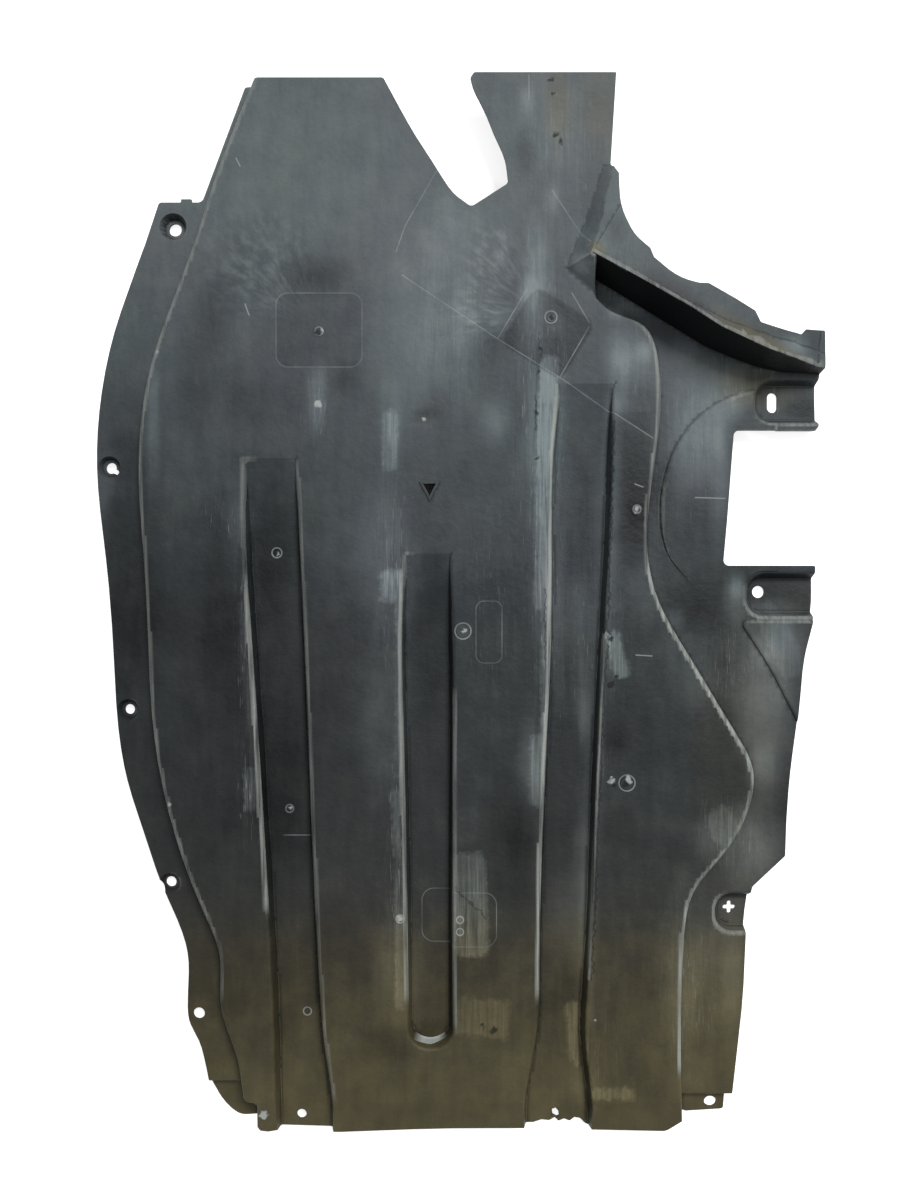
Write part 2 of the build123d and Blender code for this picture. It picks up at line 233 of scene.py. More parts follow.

# %% [markdown]
# The CAD mesh has large flat triangles. Dust lies in clouds, so the panel needs points all over it
# that can carry how dusty each place is. A copy of the mesh is merged, its flat triangles are joined
# into facets again, and it is cut along a grid. No point leaves the CAD surface.
#
# Each face keeps the number of the facet that it came from. The points of an edge remember whether it
# stands out or lies in a corner, and all points of a rounding stand out: crests are rubbed pale,
# partly as painted highlight, and the corners get painted shade.

# %% A finer copy of the panel
cell_size = 6 * MM
same_point = 0.002 * MM   # points nearer than this are one point
flat_turn = math.radians(0.05)   # facets that turn less lie in one plane
least_turn = 0.2          # radians: edges that turn less are part of a smooth surface
narrow = 1.8 * MM         # area over outline of the widest facet that belongs to a rounding


def finer_copy():
    """The CAD mesh with its flats cut into cells, and its normals as a list, one for each facet."""
    low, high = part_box(cover_node)
    cutter = bmesh.new()
    cutter.from_mesh(cover.data)
    bmesh.ops.remove_doubles(cutter, verts=cutter.verts, dist=same_point)
    bmesh.ops.dissolve_limit(cutter, angle_limit=flat_turn, verts=cutter.verts, edges=cutter.edges)
    facet = cutter.faces.layers.int.new("facet")
    shapes = []
    rounded = set()
    for number, face in enumerate(cutter.faces):
        face[facet] = number
        shapes.append((*face.normal, face.calc_area()))
        lengths = [(edge.calc_length(), edge.calc_face_angle_signed(0)) for edge in face.edges]
        standing_out = sum(length for length, turn in lengths if turn > least_turn)
        round_the_face = face.calc_perimeter()
        if standing_out > round_the_face / 4 and face.calc_area() < narrow * round_the_face:
            rounded.add(number)
    for axis, across in enumerate([(1, 0, 0), (0, 1, 0), (0, 0, 1)]):
        for at in np.arange(low[axis] + cell_size / 2, high[axis], cell_size):
            everything = cutter.verts[:] + cutter.edges[:] + cutter.faces[:]
            point = [at if k == axis else 0 for k in range(3)]
            bmesh.ops.bisect_plane(cutter, geom=everything, dist=same_point / 2, plane_co=point,
                                   plane_no=across)
    bmesh.ops.triangulate(cutter, faces=cutter.faces[:])
    crest = cutter.verts.layers.float.new("crest")
    # Points in an inner corner, where the material paints shade
    shaded_corner = cutter.verts.layers.float.new("shaded_corner")
    for edge in cutter.edges:
        turn = edge.calc_face_angle_signed(0)
        if abs(turn) > least_turn:
            for point in edge.verts:
                point[crest if turn > 0 else shaded_corner] = 1
    for face in cutter.faces:
        if face[facet] in rounded:
            for point in face.verts:
                point[crest] = 1
    mesh = bpy.data.meshes.new("worn_cover")
    cutter.to_mesh(mesh)
    cutter.free()
    return mesh, np.array(shapes)


worn_mesh, facets = finer_copy()
worn = bpy.data.objects.new("worn_cover", worn_mesh)
bpy.context.scene.collection.objects.link(worn)
print("facets:", len(facets), "triangles of the finer copy:", len(worn_mesh.polygons))

# %% [markdown]
# A corner of a face is shaded with the mean normal of the facets that meet there, weighted by their
# area, so flats stay flat right up to the rounded edges. Facets that turn away by more than the sharp
# angle are left out, so the rims of the holes stay crisp.

# %% Smooth and sharp edges
sharp_turn = math.radians(48)


def shade(mesh, facets):
    """Give each corner the mean of the facet normals around it: sum of area times normal."""
    corner_point = np.empty(len(mesh.loops), dtype=np.int64)
    mesh.loops.foreach_get("vertex_index", corner_point)
    face_facet = np.empty(len(mesh.polygons), dtype=np.int64)
    mesh.attributes["facet"].data.foreach_get("value", face_facet)
    corner_facet = np.repeat(face_facet, 3)
    pairs = np.unique(np.stack([corner_point, corner_facet], axis=1), axis=0)
    first = np.searchsorted(pairs[:, 0], corner_point, "left")
    count = np.searchsorted(pairs[:, 0], corner_point, "right") - first
    corner = np.repeat(np.arange(len(corner_point)), count)
    step = np.arange(count.sum()) - np.repeat(np.cumsum(count) - count, count)
    other = facets[pairs[first[corner] + step, 1]]
    own = facets[corner_facet[corner]]
    alike = (own[:, :3] * other[:, :3]).sum(axis=1) > math.cos(sharp_turn)
    weight = other[:, 3] * alike
    normals = [np.bincount(corner, weight * other[:, k]) for k in range(3)]
    mesh.shade_smooth()
    mesh.normals_split_custom_set(np.stack(normals, axis=1))


shade(worn_mesh, facets)
print("corners shaded:", len(worn_mesh.loops))

# %% [markdown]
# How pale the panel is changes from front to rear: paler and cooler in front, nearly black in the
# middle, and olive brown at the rear. On top of that come pale clouds and darker places, most of them
# wiped or rubbed; a few clouds are painted shadow, painted shade and painted highlight, marked in the
# list. In some zones the road has drawn the dust out into streaks. All of these are places in the
# picture, in pixels of the 900 by 1200 picture.

# %% Where film, mud and rubbed edges lie
paleness_by_row = [
    (80, 0.66), (210, 0.66), (290, 0.56), (360, 0.49), (450, 0.42), (520, 0.35), (590, 0.28),
    (650, 0.24), (760, 0.22), (900, 0.25), (1000, 0.29), (1060, 0.38), (1110, 0.43),
]
olive_by_row = [
    (80, 0.08), (280, 0.06), (320, 0.03), (560, 0.03), (660, 0.10), (760, 0.14), (850, 0.20),
    (905, 0.34), (945, 0.74), (1010, 0.92), (1110, 1),
]

# Clouds, mostly dust and a few painted light: centre, half width, half height, turn in degrees, and
# how much paler or darker they are
clouds = [
    (425, 330, 80, 150, -8, 0.28), (462, 232, 60, 55, 0, 0.16), (553, 115, 50, 80, 0, 0.10),
    (385, 560, 50, 120, -3, 0.28), (385, 720, 42, 130, -3, 0.18), (392, 425, 20, 80, 0, 0.18),
    (330, 520, 40, 80, 0, 0.04), (545, 440, 32, 120, 3, 0.34), (538, 290, 22, 100, 0, 0.34),
    (550, 590, 24, 130, 0, 0.34), (531, 765, 18, 70, 0, 0.30), (632, 358, 46, 38, 25, 0.34),
    (700, 430, 46, 95, 18, 0.46), (720, 480, 16, 100, 0, 0.28), (582, 620, 20, 70, 0, 0.22),
    (690, 660, 50, 50, 40, 0.16), (765, 690, 48, 110, -5, 0.46), (752, 850, 46, 70, 0, 0.44),
    (700, 960, 60, 130, 0, 0.22), (680, 1000, 26, 100, 0, 0.14), (400, 975, 34, 90, 0, 0.22),
    (572, 915, 34, 70, 0, 0.16), (237, 540, 20, 90, 0, 0.12), (152, 430, 11, 90, 0, 0.26),
    (490, 275, 40, 55, 0, 0.10), (770, 400, 46, 26, 0, 0.12), (645, 590, 26, 50, 0, 0.14),
    (318, 398, 14, 50, 0, 0.30), (290, 335, 70, 40, 0, -0.04), (525, 152, 14, 36, 0, -0.20),
    # Next row: (592, 190) is painted shade of a shallow fold on the tongue
    (592, 190, 20, 60, 10, -0.10), (578, 235, 24, 24, 0, 0.12), (430, 640, 26, 110, 0, -0.10),
    (272, 560, 34, 130, 0, -0.20), (282, 790, 44, 120, 0, -0.20), (505, 835, 34, 100, 0, -0.16),
    (488, 350, 30, 30, 0, -0.14), (425, 414, 22, 11, -15, -0.20), (635, 500, 22, 90, 0, -0.20),
    # Next row: (670, 300) and (700, 345) are the painted shadow of the deflector on the field in
    # front of it
    (700, 608, 44, 36, 0, -0.20), (670, 300, 60, 28, 35, -0.45), (700, 345, 60, 18, 22, -0.25),
    (120, 620, 40, 160, 0, -0.06), (250, 400, 70, 40, 0, -0.08), (640, 720, 40, 70, 0, -0.06),
    (315, 276, 50, 30, 0, -0.26), (205, 340, 34, 150, 12, -0.15), (222, 610, 34, 150, 0, -0.16),
    (130, 520, 50, 230, 0, -0.15), (345, 378, 24, 26, 0, -0.16), (438, 405, 24, 36, 0, -0.14),
    # Next row: (628, 306) is a painted highlight on the rounded corner of the field in front of the
    # deflector
    (495, 415, 24, 34, 0, 0.16), (628, 306, 26, 13, 30, 0.26), (617, 405, 18, 18, 0, 0.20),
    (585, 495, 14, 60, 0, -0.12), (664, 480, 22, 50, 0, -0.16), (585, 960, 12, 150, 0, 0.20),
    (735, 985, 20, 120, 0, 0.24), (765, 775, 24, 50, 0, 0.20), (790, 632, 26, 50, -20, 0.30),
    (585, 725, 12, 40, 0, 0.16), (690, 345, 24, 24, 0, 0.16), (755, 590, 60, 20, 0, -0.10),
    # Next row: (600, 235) is painted light that lifts a side of the swelling turned away from the
    # lamp
    (560, 790, 50, 90, 0, -0.04), (430, 1030, 30, 14, 0, -0.10), (600, 235, 18, 34, 0, 0.20),
    # Next row: (585, 268) is painted light on the same side of the swelling
    (528, 325, 16, 70, 0, 0.20), (468, 325, 26, 60, 0, 0.18), (585, 268, 20, 26, 0, 0.20),
    (612, 560, 12, 180, 0, 0.18), (583, 700, 12, 60, 0, 0.24), (583, 850, 13, 80, 0, 0.22),
    (737, 588, 14, 18, 0, 0.44), (645, 350, 14, 16, 0, 0.20), (795, 345, 22, 14, 20, 0.30),
    (735, 378, 20, 20, 0, 0.16), (700, 690, 30, 40, 0, 0.14), (748, 740, 24, 50, 0, 0.14),
    (708, 838, 26, 30, -30, 0.20), (495, 430, 26, 30, 0, 0.12), (195, 640, 30, 110, 0, -0.06),
    (150, 630, 30, 90, 0, -0.08), (105, 490, 14, 60, 0, 0.12), (810, 408, 30, 18, 0, -0.16),
    # Next row: (578, 264) is painted light on the same side of the swelling
    (578, 264, 16, 18, 0, 0.20), (636, 512, 13, 14, 0, -0.26), (675, 390, 30, 60, 0, 0.14),
    # Next row: (616, 314) is painted highlight on the same field corner
    (612, 470, 14, 80, 0, 0.14), (762, 765, 20, 40, 0, 0.18), (616, 314, 14, 10, 30, 0.26),
    (215, 700, 190, 480, 0, -0.09), (599, 690, 11, 420, 2.3, 0.30), (735, 405, 18, 22, 0, 0.24),
    (735, 600, 20, 34, 0, 0.26), (768, 650, 22, 26, 0, 0.22), (675, 618, 16, 16, 0, 0.26),
    # Next row: (604, 228) is painted shade of the same fold on the tongue
    (700, 358, 50, 26, 25, 0.18), (790, 408, 30, 16, 0, -0.18), (604, 228, 26, 26, 30, -0.18),
    (616, 738, 22, 30, 0, -0.18), (622, 830, 24, 34, 0, -0.14), (524, 850, 18, 110, 0, -0.12),
    (466, 862, 18, 22, 0, -0.16), (390, 1045, 40, 30, 0, -0.16), (553, 198, 12, 26, 0, 0.22),
    (526, 100, 12, 24, 0, 0.20), (530, 292, 14, 30, 0, 0.18), (556, 322, 14, 22, 0, 0.20),
    (497, 316, 16, 22, 0, 0.18), (585, 1085, 30, 34, 0, 0.14), (690, 1080, 40, 34, 0, 0.12),
    (620, 380, 16, 70, 0, 0.18),
]

# Zones where the dust is drawn out into streaks, with the strength of the streaks
streak_zones = [
    (540, 400, 40, 260, 0, 1.0), (546, 640, 22, 180, 0, 0.9), (394, 560, 26, 170, 0, 0.8),
    (398, 850, 18, 180, 0, 0.8), (690, 450, 60, 120, 0, 0.45), (590, 650, 50, 200, 0, 0.5),
    (618, 270, 50, 110, -20, 0.5), (560, 140, 60, 110, 0, 0.5), (755, 385, 80, 50, 25, 0.6),
    (450, 330, 60, 130, 0, 0.45), (246, 640, 16, 200, 0, 0.7), (472, 910, 26, 80, 0, 0.5),
    (740, 660, 60, 60, 0, 0.6), (220, 520, 26, 30, 0, 0.8), (315, 400, 24, 60, 0, 0.6),
    (730, 840, 40, 60, -30, 0.7), (690, 980, 40, 120, 0, 0.6), (635, 380, 40, 50, 0, 0.5),
    (490, 600, 40, 160, 0, 0.3), (250, 800, 20, 60, 0, 0.9), (590, 1050, 40, 60, 0, 0.5),
]

# Tan mud that lies in front: the tongue, the ramp of the deflector, and beside its right end
tan_clouds = [
    (558, 105, 20, 60, 0, 0.36), (600, 110, 30, 60, 0, 0.25), (756, 388, 60, 34, 10, 0.45),
    (760, 340, 90, 14, 30, 0.65), (597, 248, 12, 9, 30, 0.8), (800, 600, 40, 30, 0, 0.2),
    (740, 740, 70, 220, 0, 0.20),
]

# Edges rubbed pale, partly wear and partly painted highlight on crests that face the lamp: strength,
# half width in pixels, and the points along them
rubbed_and_lit_edges = [
    (1.0, 20, [(520, 215), (533, 330), (546, 395), (553, 460), (552, 575), (547, 700), (542, 850),
               (539, 985)]),
    (0.6, 18, [(402, 560), (402, 700), (405, 880), (408, 990)]),
    (0.4, 14, [(452, 700), (453, 1020)]),
    (0.7, 18, [(246, 580), (247, 600), (252, 670), (263, 836), (268, 900)]),
    (0.3, 16, [(244, 440), (246, 580)]),
    (0.3, 14, [(297, 470), (305, 647), (310, 780), (318, 900), (330, 1090)]),
    (1.0, 26, [(650, 556), (660, 604), (692, 662), (734, 731), (750, 775)]),
    (0.6, 22, [(750, 775), (744, 822), (722, 857), (694, 894), (686, 920)]),
    (0.9, 20, [(684, 915), (683, 1000), (681, 1060)]),
    (0.4, 22, [(245, 85), (205, 210), (176, 285), (150, 360), (138, 450), (137, 560), (145, 660),
               (160, 790), (200, 900), (212, 985)]),
    (0.5, 12, [(592, 252), (643, 280), (690, 305), (722, 326), (771, 349), (817, 366)]),
    (0.6, 18, [(640, 302), (655, 330), (654, 420), (650, 556)]),
    (0.5, 14, [(745, 372), (738, 398), (748, 424), (812, 428)]),
    (0.5, 14, [(735, 575), (735, 604), (750, 614), (806, 617)]),
    (0.5, 14, [(715, 890), (714, 922), (742, 930)]),
]


def soft(reach):
    """A soft spot over distance r in radii: (1 - r^2)^2, and 0 from the rim on."""
    return np.clip(1 - reach**2, 0, None) ** 2


def cloud(across, down, x, y, wide, high, turn):
    """A soft spot with the shape of a turned ellipse."""
    cosine, sine = math.cos(math.radians(turn)), math.sin(math.radians(turn))
    along = (across - x) * cosine + (down - y) * sine
    beside = (down - y) * cosine - (across - x) * sine
    return soft(np.hypot(along / wide, beside / high))


def stroke(across, down, points, width):
    """A soft band along a line of points, by the distance to its nearest piece."""
    nearest = np.full(len(across), np.inf)
    for (x0, y0), (x1, y1) in zip(points, points[1:]):
        length = (x1 - x0) ** 2 + (y1 - y0) ** 2
        share = np.clip(((across - x0) * (x1 - x0) + (down - y0) * (y1 - y0)) / length, 0, 1)
        apart = np.hypot(across - x0 - share * (x1 - x0), down - y0 - share * (y1 - y0))
        nearest = np.minimum(nearest, apart)
    return soft(nearest / width)


def paint(mesh, name, values):
    """Write one number to each point of a mesh, under a name that a material can read."""
    layer = mesh.attributes.get(name) or mesh.attributes.new(name, "FLOAT", "POINT")
    layer.data.foreach_set("value", values.astype(np.float32))


places = np.empty(3 * len(worn_mesh.vertices))
worn_mesh.vertices.foreach_get("co", places)
across, down = seen(places.reshape(-1, 3))

dust_and_painted_light = np.interp(down, *zip(*paleness_by_row))
olive_share = np.interp(down, *zip(*olive_by_row))
streaky = np.zeros(len(across))
for layer, spots in ((dust_and_painted_light, clouds), (olive_share, tan_clouds), (streaky, streak_zones)):
    for x, y, wide, high, turn, strength in spots:
        layer += strength * cloud(across, down, x, y, wide, high, turn)
rub_and_highlight = np.zeros(len(across))
for strength, width, points in rubbed_and_lit_edges:
    rub_and_highlight = np.maximum(rub_and_highlight, strength * stroke(across, down, points, width))
# The film holds dust, and the painted shadow, shade and highlight of the marked clouds
paint(worn_mesh, "dust_and_painted_light", np.clip(dust_and_painted_light, 0, 1.1))
paint(worn_mesh, "olive_share", np.clip(olive_share, 0, 1))
paint(worn_mesh, "rub_and_highlight", rub_and_highlight)
paint(worn_mesh, "streaky", np.clip(streaky, 0, 1))
print("film from", round(dust_and_painted_light.min(), 2), "to", round(dust_and_painted_light.max(), 2))

# %% [markdown]
# The panel is injection-moulded polypropylene: a black, slightly waxy plastic with a fine grain. What
# the eye sees is mostly what lies on it, with some painted light and shade. The film of dust is grey
# and cool, the rear is olive brown, and where stones and the road have rubbed the plastic it turns
# pale, with painted highlight on the crests that face the lamp. The steel tool was made of inserts,
# and the joints between them show as hair-thin lines.
#
# A pattern is a noise whose spots have a real size in millimetres. Stretched, it gives streaks, and
# only the peaks of a very stretched one give scratches.

# %% Patterns
def pattern(tree, place, size, low, high, turn=0.0, stretch=1.0, detail=4.0, band=(0.3, 0.7)):
    """A noise from low to high with spots of a size in mm, longer along their own Y.

    The band is the part of the noise, of which little lies outside 0.3 to 0.7, that is used.
    """
    laid = add_node(tree, "Mapping", {"Vector": place, "Rotation": (0, 0, math.radians(turn)),
                                      "Scale": (1, 1 / stretch, 1)})
    spots = add_node(tree, "TexNoise", {"Vector": laid, "Scale": 1 / (size * MM), "Detail": detail})
    return add_node(tree, "MapRange", {"Value": spots, "From Min": band[0], "From Max": band[1],
                                       "To Min": low, "To Max": high})


def combined(tree, operation, values):
    """Several values put together by one calculation, such as ADD, MULTIPLY or MAXIMUM.

    The values may come from a generator. Each is then made just before it is used, which matters in a
    long row of them: the renderer can hold only so many values that wait for their use.
    """
    result = None
    for value in values:
        if result is None:
            result = value
        else:
            result = add_node(tree, "Math", {0: result, 1: value}, operation=operation)
    return result


# %% [markdown]
# A fine line is a distance: the distance to a box with round corners, worked out in the box's own
# axes. A box of no width is a straight line. Discs and rings need only the distance to their middle.
# The renderer can hold only a limited number of values at a time, so these take as few as they can.

# %% Lines, rims and rings
pixel = (camera_place[2] - field_level) / focal_pixels   # metres on the field for one pixel


def off_box(tree, place, box):
    """Distance to a box, in metres: the length of max(|p| - h, 0), less the corner radius.

    The box is its middle, half width, half height, turn and corner radius, in pixels of the picture.
    """
    x, y, half_wide, half_high, turn, corner = box
    size = ((half_wide - corner) * pixel, (half_high - corner) * pixel, 0)
    local = add_node(
        tree, "Mapping",
        {"Vector": place, "Location": (*spot(x, y), 0), "Rotation": (0, 0, math.radians(-turn))},
        vector_type="TEXTURE",
    )
    side = add_node(tree, "VectorMath", {0: local}, operation="ABSOLUTE")
    past = add_node(tree, "VectorMath", {0: side, 1: size}, operation="SUBTRACT")
    out = add_node(tree, "VectorMath", {0: past, 1: (0, 0, 0)}, operation="MAXIMUM")
    length = add_node(tree, "VectorMath", {0: out}, operation="LENGTH")
    return add_node(tree, "Math", {0: length, 1: corner * pixel}, operation="SUBTRACT")


def inside(tree, place, box, blur, share=1.0):
    """The share inside a box, 0 outside, with a blur in pixels across its rim."""
    return add_node(tree, "MapRange", {"Value": off_box(tree, place, box), "From Min": -blur * pixel,
                                       "From Max": blur * pixel, "To Min": share, "To Max": 0.0})


def rim(tree, place, box, width, share=1.0):
    """The share on the rim of a box, 0 at half the width on either side, in pixels."""
    off = add_node(tree, "Math", {0: off_box(tree, place, box)}, operation="ABSOLUTE")
    return add_node(tree, "MapRange", {"Value": off, "From Min": 0, "From Max": width / 2 * pixel,
                                       "To Min": share, "To Max": 0.0})


def line(tree, place, start, end, width):
    """1 on a straight line between two pixels of the picture, 0 at half its width."""
    middle = ((start[0] + end[0]) / 2, (start[1] + end[1]) / 2)
    turn = math.degrees(math.atan2(end[1] - start[1], end[0] - start[0]))
    return rim(tree, place, (*middle, math.dist(start, end) / 2, 0, turn, 0), width)


def disc(tree, place, x, y, radius, share=1.0):
    """The share inside a disc, which fades to 0 over two pixels."""
    away = add_node(tree, "VectorMath", {0: place, 1: (*spot(x, y), 0)}, operation="DISTANCE")
    return add_node(tree, "MapRange", {"Value": away, "From Min": (radius - 1) * pixel,
                                       "From Max": (radius + 1) * pixel, "To Min": share,
                                       "To Max": 0.0})


def ring(tree, place, x, y, radius, width):
    """1 on a ring of a width, in pixels."""
    away = add_node(tree, "VectorMath", {0: place, 1: (*spot(x, y), 0)}, operation="DISTANCE")
    return add_node(tree, "Math", {0: away, 1: radius * pixel, 2: width / 2 * pixel},
                    operation="COMPARE")


def rays(tree, place, gate, zone, blur):
    """Strokes that run out from a gate, in one zone: a noise of the angle and of the distance."""
    local = add_node(tree, "Mapping", {"Vector": place, "Location": (*spot(*gate), 0)},
                     vector_type="TEXTURE")
    parts = add_node(tree, "SeparateXYZ", {0: local})
    angle = add_node(tree, "Math", {0: parts.outputs["Y"], 1: parts.outputs["X"]},
                     operation="ARCTAN2")
    away = add_node(tree, "VectorMath", {0: local}, operation="LENGTH")
    along = add_node(tree, "Math", {0: away, 1: 4.0}, operation="MULTIPLY")
    turned = add_node(tree, "CombineXYZ", {"X": angle, "Y": along})
    streak = add_node(tree, "TexNoise", {"Vector": turned, "Scale": 14.0, "Detail": 3.0})
    strong = add_node(tree, "MapRange", {"Value": streak, "From Min": 0.42, "From Max": 0.68,
                                         "To Min": -0.3, "To Max": 1.0})
    return combined(tree, "MULTIPLY", [strong, inside(tree, place, zone, blur)])


print("one pixel on the field, in mm:", round(pixel / MM, 3))

# %% [markdown]
# The places of the inserts and gates, as they show in the picture. A box is its middle, half width,
# half height, turn and corner radius. The patches, where dust was pressed on or rubbed in, have torn
# rims: their place is shifted about by a noise before the distance is taken.

# %% Marks of the steel tool, and patches
# Joints between the inserts: the ends of the straight ones, and the boxes
insert_lines = [
    ((437, 170), (405, 226)), ((405, 226), (396, 252)), ((402, 275), (498, 339)),
    ((498, 339), (559, 377)), ((559, 377), (653, 438)), ((552, 190), (589, 246)),
    ((498, 338), (527, 289)), ((572, 293), (589, 322)), ((589, 327), (560, 377)),
    ((281, 839), (308, 839)), ((529, 75), (529, 100)),
]
insert_boxes = [
    (319, 330, 43, 37, 0, 12), (489, 632, 13, 31, 0, 8), (459, 920, 37.5, 27, 0, 12),
]
# Long scratches, by their ends
pale_scratches = [
    ((699, 496), (729, 497)), ((635, 484), (643, 487)), ((245, 304), (249, 315)),
    ((236, 158), (240, 166)), ((636, 655), (652, 656)),
]
# Gates: place, ring radius, and how much paler or darker the disc inside the ring is
gates = [
    (319, 331, 4, -0.10), (551, 317, 6, 0.10), (463, 631, 8, 0.12), (637, 509, 4, -0.12),
    (627, 783, 8, 0.05), (274, 552, 5, -0.10), (287, 812, 4, -0.05), (400, 919, 4, 0.10),
    (460, 920, 3.5, 0.10), (460, 932, 3.5, 0.10), (305, 1018, 4, -0.04),
]
# Chips and crumbs: place and radius
pale_chips = [
    (464, 631, 3.0), (637, 509, 2.4), (629, 780, 3.0), (612, 781, 3.2), (322, 330, 1.8),
    (276, 553, 1.6), (287, 812, 2.0), (400, 919, 3.0), (169, 804, 1.8), (157, 352, 1.6),
    (263, 1116, 4.0), (594, 1021, 1.4), (606, 636, 2.4), (424, 419, 2.0), (318, 404, 3.0),
]
dark_chips = [
    (551, 318, 2.6), (317, 332, 2.4), (273, 551, 2.4), (611, 639, 3.0), (610, 632, 1.8),
    (611, 684, 3.2), (617, 677, 1.8), (551, 79, 2.2), (553, 93, 1.8), (556, 134, 2.4),
    (560, 141, 1.8), (626, 785, 3.0), (613, 785, 2.6), (494, 1030, 3.4), (482, 1026, 2.4),
    (540, 350, 2.0), (536, 412, 2.2), (538, 458, 2.0), (539, 372, 1.8), (462, 630, 2.0),
]
# Gouges, a painted shadow in the torn slit, and a dark and a pale line along the right side of the
# right channel, by their ends
dark_strokes = [
    ((540, 340), (540, 362)), ((536, 398), (535, 430)), ((545, 590), (545, 660)),
    # The stroke at (686, 917) is a painted shadow in the torn slit
    ((455, 888), (486, 918)), ((686, 917), (686, 949)),
    ((614, 420), (609, 600)), ((609, 600), (600, 800)), ((600, 800), (592, 980)),
]
pale_side_lines = [((604, 640), (597, 800)), ((597, 800), (589, 980))]
# Patches: the box, and how much dust it adds or takes
torn_patches = [
    ((470, 905, 17, 52, -3, 8), 0.36), ((482, 1018, 27, 19, 6, 4), 0.20),
    ((617, 655, 8, 24, -16, 5), 0.50), ((577, 1040, 8, 32, -6, 8), 0.26),
    ((612, 1094, 23, 6, 0, 4), 0.26), ((538, 770, 8, 36, 0, 5), 0.34),
    ((392, 586, 11, 16, 0, 4), 0.40), ((399, 690, 3, 90, 0, 2), 0.30),
    ((398, 900, 4, 110, -1, 3), 0.25), ((549, 380, 9, 24, 0, 6), 0.40),
    ((545, 500, 9, 110, 1, 6), 0.30), ((546, 680, 5, 80, 1, 4), 0.26),
    ((250, 788, 6, 22, 0, 4), 0.36), ((248, 690, 4, 90, -4, 4), 0.16),
    ((724, 827, 14, 20, -30, 8), 0.24), ((390, 440, 7, 30, 0, 5), 0.26),
    ((785, 640, 14, 40, -24, 8), 0.16),
]
dark_patches = [
    ((548, 333, 36, 34, 32, 12), 0.24), ((319, 330, 43, 37, 0, 12), 0.06),
    ((631, 478, 20, 66, 0, 4), 0.10),
]
print("patches:", len(torn_patches) + len(dark_patches), "gates:", len(gates))


# %% [markdown]
# The film's thickness, with the painted light of a few clouds in it, is what the points of the mesh
# carry, broken up by the patterns. To it are added the streaks, the pressed patches, the strokes that
# run out from two gates, and the gates.

# %% How thick the dust lies, and the painted light in it
largest_shift = (9 * MM, 14 * MM, 0)
streak_strength = 0.16
# Strokes round a gate: the gate, the box that holds them, and the blur of its rim
gate_strokes = [
    ((319, 331), (258, 262, 44, 44, 0, 30), 22), ((548, 318), (492, 282, 26, 56, 12, 20), 14),
]


def shifted(tree, place, flat_place):
    """The place in plan, shifted about by a noise by up to half of the largest shift."""
    waver = add_node(tree, "TexNoise", {"Vector": place, "Scale": 1 / (6 * MM), "Detail": 4.0})
    shift = add_node(tree, "VectorMath", {0: waver.outputs["Color"], 1: (0.5, 0.5, 0.5)},
                     operation="SUBTRACT")
    return add_node(tree, "VectorMath", {0: shift, 1: largest_shift, 2: flat_place},
                    operation="MULTIPLY_ADD")


def dust_and_light_level(tree, place, flat_place, torn_place, dust_and_painted_light, streaky, mottling, smears):
    """Thickness of the dust, with the painted light of its clouds: the sum of film, patterns,
    streaks, patches, strokes and gates.
    """
    hairs = pattern(tree, place, 1.5, -1, 1, turn=1, stretch=30, detail=3)
    drawn_out = combined(tree, "ADD", [combined(tree, "MULTIPLY", [smears, 0.55]),
                                       combined(tree, "MULTIPLY", [hairs, 0.45])])
    patches = combined(tree, "MAXIMUM", (inside(tree, torn_place, box, 2.5, share)
                                         for box, share in torn_patches))
    patch_share = add_node(tree, "MapRange", {"Value": drawn_out, "From Min": -0.8, "From Max": 0.5,
                                              "To Min": 0.3, "To Max": 1.1})
    return combined(tree, "ADD", itertools.chain(
        [dust_and_painted_light, mottling, combined(tree, "MULTIPLY", [drawn_out, streaky, streak_strength]),
         combined(tree, "MULTIPLY", [patches, patch_share]),
         pattern(tree, place, 70, -0.04, 0.04, detail=3),
         pattern(tree, place, 9, -0.03, 0.03, turn=-38, stretch=6),
         pattern(tree, place, 2.2, -0.02, 0.02, detail=2)],
        (combined(tree, "MULTIPLY", [rays(tree, flat_place, *strokes), streak_strength])
         for strokes in gate_strokes),
        (inside(tree, flat_place, box, 1.5, -depth) for box, depth in dark_patches),
        (disc(tree, torn_place, x, y, radius, share) for x, y, radius, share in gates),
    ))


# %% [markdown]
# One ramp turns the thickness into grey dust, another into olive brown, and the olive share chooses
# between them. The dust is greener in some large places. It lies on what faces up and forward, toward
# the lamp: sides that face away stay black, as bare plastic and as painted shade, and the inner
# corners get painted shade.

# %% Colour of dust and mud
dust_tones = [(0, "111417"), (0.25, "2b2f33"), (0.5, "464b50"), (0.75, "5f666b"), (1, "7e8589")]
olive_tones = [(0, "1a180e"), (0.25, "35301f"), (0.5, "534d35"), (0.75, "70694e"), (1, "918a70")]
green_dust = "434f50"
# Black of bare plastic and of painted shade on faces turned from the lamp, black of painted shade in
# the corners, and where dust and lamp light come from
bare_and_shaded_black = "060809"
corner_shade_black = "0a0c0d"
dust_and_lamp_from = (0.12, 0.33, 0.93)


